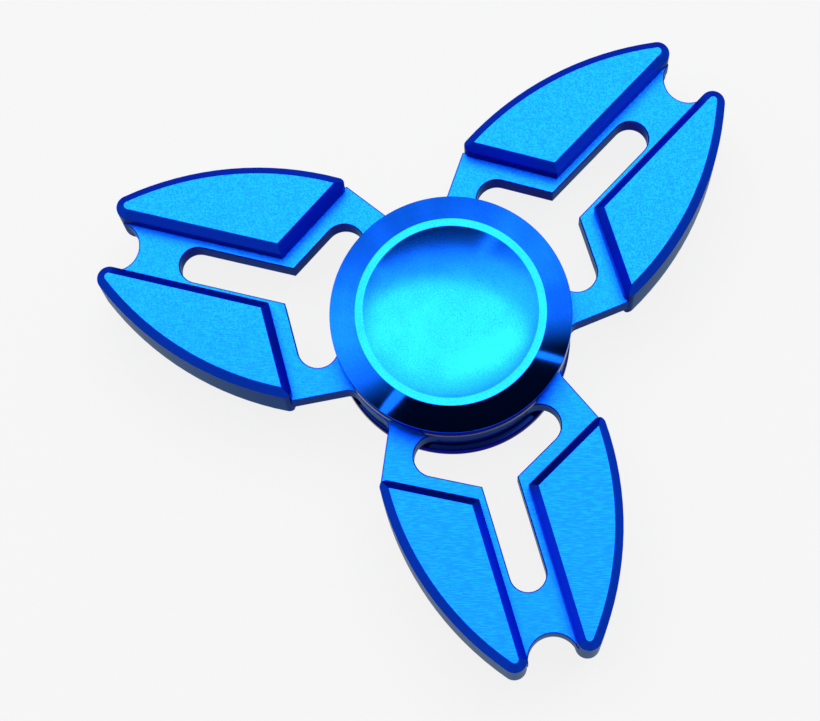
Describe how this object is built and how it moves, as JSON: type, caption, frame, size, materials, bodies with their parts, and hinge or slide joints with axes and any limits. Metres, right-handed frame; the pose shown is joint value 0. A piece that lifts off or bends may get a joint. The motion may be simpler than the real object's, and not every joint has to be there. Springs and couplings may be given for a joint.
{
  "type": "fidget spinner",
  "caption": "Flat three-armed finger spinner with split claw-shaped arms around a shielded ball bearing, held between two dished finger caps.",
  "frame": {"origin": "centre of the ball bearing, on the spin axis, midway between the two cap rims", "axes": "+Z along the spin axis through the upper cap, +Y along one arm, +X completes the right-handed frame"},
  "size_m": [0.0682, 0.0597, 0.014],
  "materials": {
    "frame_anodised": "brushed, then bright blue anodised",
    "cap_anodised": "fine turned, then glossy blue anodised",
    "stud_steel": "black oxide",
    "race_steel": "ground bearing steel",
    "ball_steel": "polished bearing steel",
    "cage_steel": "pressed strip, tumbled",
    "shield_steel": "pressed bright strip",
    "clip_wire": "drawn spring wire"
  },
  "bodies": {
    "axle": {"top_cap": "cap_anodised", "bottom_cap": "cap_anodised", "cap_stud": "stud_steel", "inner_ring": "race_steel"},
    "spinner": {"spinner_frame": "frame_anodised", "outer_ring": "race_steel", "upper_shield": "shield_steel", "lower_shield": "shield_steel", "upper_shield_clip": "clip_wire", "lower_shield_clip": "clip_wire"},
    "cage": {"upper_cage_half": "cage_steel", "lower_cage_half": "cage_steel", "cage_rivets": "cage_steel"},
    "rolling_ball_1": {"ball_1": "ball_steel"},
    "rolling_ball_2": {"ball_2": "ball_steel"},
    "rolling_ball_3": {"ball_3": "ball_steel"},
    "rolling_ball_4": {"ball_4": "ball_steel"},
    "rolling_ball_5": {"ball_5": "ball_steel"},
    "rolling_ball_6": {"ball_6": "ball_steel"},
    "rolling_ball_7": {"ball_7": "ball_steel"}
  },
  "joints": [
    {"name": "spin", "type": "hinge", "parent": "axle", "child": "spinner", "pos_m": [0, 0, 0], "axis": [0, 0, 1], "continuous": true},
    {"name": "cage_orbit", "type": "hinge", "parent": "axle", "child": "cage", "pos_m": [0, 0, 0], "axis": [0, 0, 1], "continuous": true},
    {"name": "ball_1_spin", "type": "hinge", "parent": "cage", "child": "rolling_ball_1", "pos_m": [0.0075, 0, 0], "axis": [0, 0, 1], "continuous": true},
    {"name": "ball_2_spin", "type": "hinge", "parent": "cage", "child": "rolling_ball_2", "pos_m": [0.00468, 0.00586, 0], "axis": [0, 0, 1], "continuous": true},
    {"name": "ball_3_spin", "type": "hinge", "parent": "cage", "child": "rolling_ball_3", "pos_m": [-0.00167, 0.00731, 0], "axis": [0, 0, 1], "continuous": true},
    {"name": "ball_4_spin", "type": "hinge", "parent": "cage", "child": "rolling_ball_4", "pos_m": [-0.00676, 0.00325, 0], "axis": [0, 0, 1], "continuous": true},
    {"name": "ball_5_spin", "type": "hinge", "parent": "cage", "child": "rolling_ball_5", "pos_m": [-0.00676, -0.00325, 0], "axis": [0, 0, 1], "continuous": true},
    {"name": "ball_6_spin", "type": "hinge", "parent": "cage", "child": "rolling_ball_6", "pos_m": [-0.00167, -0.00731, 0], "axis": [0, 0, 1], "continuous": true},
    {"name": "ball_7_spin", "type": "hinge", "parent": "cage", "child": "rolling_ball_7", "pos_m": [0.00468, -0.00586, 0], "axis": [0, 0, 1], "continuous": true}
  ],
  "couplings": [
    {"joint": "cage_orbit", "follows": "spin", "ratio": 0.6323},
    {"joint": "ball_1_spin", "follows": "spin", "ratio": 1.7573},
    {"joint": "ball_2_spin", "follows": "spin", "ratio": 1.7573},
    {"joint": "ball_3_spin", "follows": "spin", "ratio": 1.7573},
    {"joint": "ball_4_spin", "follows": "spin", "ratio": 1.7573},
    {"joint": "ball_5_spin", "follows": "spin", "ratio": 1.7573},
    {"joint": "ball_6_spin", "follows": "spin", "ratio": 1.7573},
    {"joint": "ball_7_spin", "follows": "spin", "ratio": 1.7573}
  ]
}
